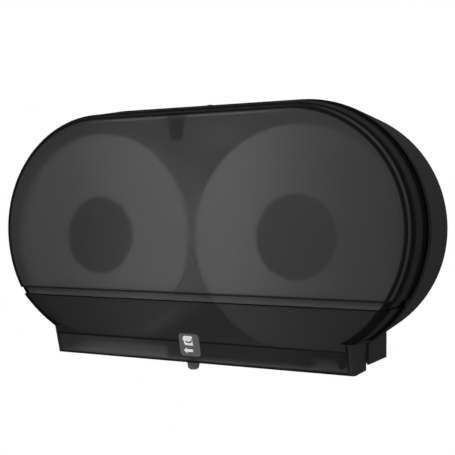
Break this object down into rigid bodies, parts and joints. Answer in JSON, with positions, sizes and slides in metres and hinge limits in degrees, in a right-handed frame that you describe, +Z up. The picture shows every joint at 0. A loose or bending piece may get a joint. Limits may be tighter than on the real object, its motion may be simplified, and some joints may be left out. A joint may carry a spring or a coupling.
{
  "type": "twin jumbo toilet roll dispenser",
  "caption": "Wall-mounted dispenser with a round-ended translucent smoke cover over two side-by-side jumbo paper rolls, and a sliding shutter with a knob below.",
  "frame": {"origin": "centre of the wall-screw pattern, on the wall plane at the back of the rear shell", "axes": "+X to the right seen from the room, +Y into the wall, +Z up"},
  "size_m": [0.4946, 0.129, 0.2924],
  "materials": {
    "smoke_plastic": "translucent smoke, satin",
    "black_plastic": "fine grain",
    "hub_plastic": "fine grain",
    "steel": "zinc plated",
    "badge_grey": "satin",
    "knob_grey": "satin",
    "tissue": "soft embossed tissue",
    "core_board": "wound board"
  },
  "bodies": {
    "wall_unit": {"rear_shell": "black_plastic", "left_spindle": "hub_plastic", "right_spindle": "hub_plastic", "spindle_screws": "steel", "retaining_washers": "steel", "retaining_screws": "steel", "lock_bracket": "steel", "bracket_screws": "steel", "latch_pin": "steel", "hinge_pins": "steel"},
    "cover": {"front_cover": "smoke_plastic", "instruction_badge": "badge_grey"},
    "sliding_shutter": {"shutter": "black_plastic", "shutter_knob": "knob_grey", "knob_screw": "steel"},
    "latch": {"latch_lever": "black_plastic", "latch_spring": "steel"},
    "button": {"release_button": "black_plastic", "button_clip": "steel"},
    "left_roll": {"left_hub": "hub_plastic", "left_core": "core_board", "left_paper": "tissue"},
    "right_roll": {"right_hub": "hub_plastic", "right_core": "core_board", "right_paper": "tissue"}
  },
  "joints": [
    {"name": "cover_hinge", "type": "hinge", "parent": "wall_unit", "child": "cover", "pos_m": [0, -0.07197, -0.134], "axis": [1, 0, 0], "range_deg": [0, 105]},
    {"name": "shutter_slide", "type": "slide", "parent": "cover", "child": "sliding_shutter", "axis": [1, 0, 0], "range_m": [-0.1, 0]},
    {"name": "latch_pivot", "type": "hinge", "parent": "wall_unit", "child": "latch", "pos_m": [0, -0.04497, 0.119], "axis": [1, 0, 0], "range_deg": [0, 5.4], "stiffness_Nm_per_rad": 0.03, "springref_deg": -20.05},
    {"name": "button_slide", "type": "slide", "parent": "wall_unit", "child": "button", "axis": [0, 0, 1], "range_m": [-0.0019, 0]},
    {"name": "left_roll_spin", "type": "hinge", "parent": "wall_unit", "child": "left_roll", "pos_m": [-0.1188, -0.045, -0.0076], "axis": [0, 1, 0], "continuous": true},
    {"name": "right_roll_spin", "type": "hinge", "parent": "wall_unit", "child": "right_roll", "pos_m": [0.1188, -0.045, -0.0076], "axis": [0, 1, 0], "continuous": true}
  ],
  "couplings": [
    {"joint": "button_slide", "follows": "latch_pivot", "m_per_rad": -0.019099}
  ]
}
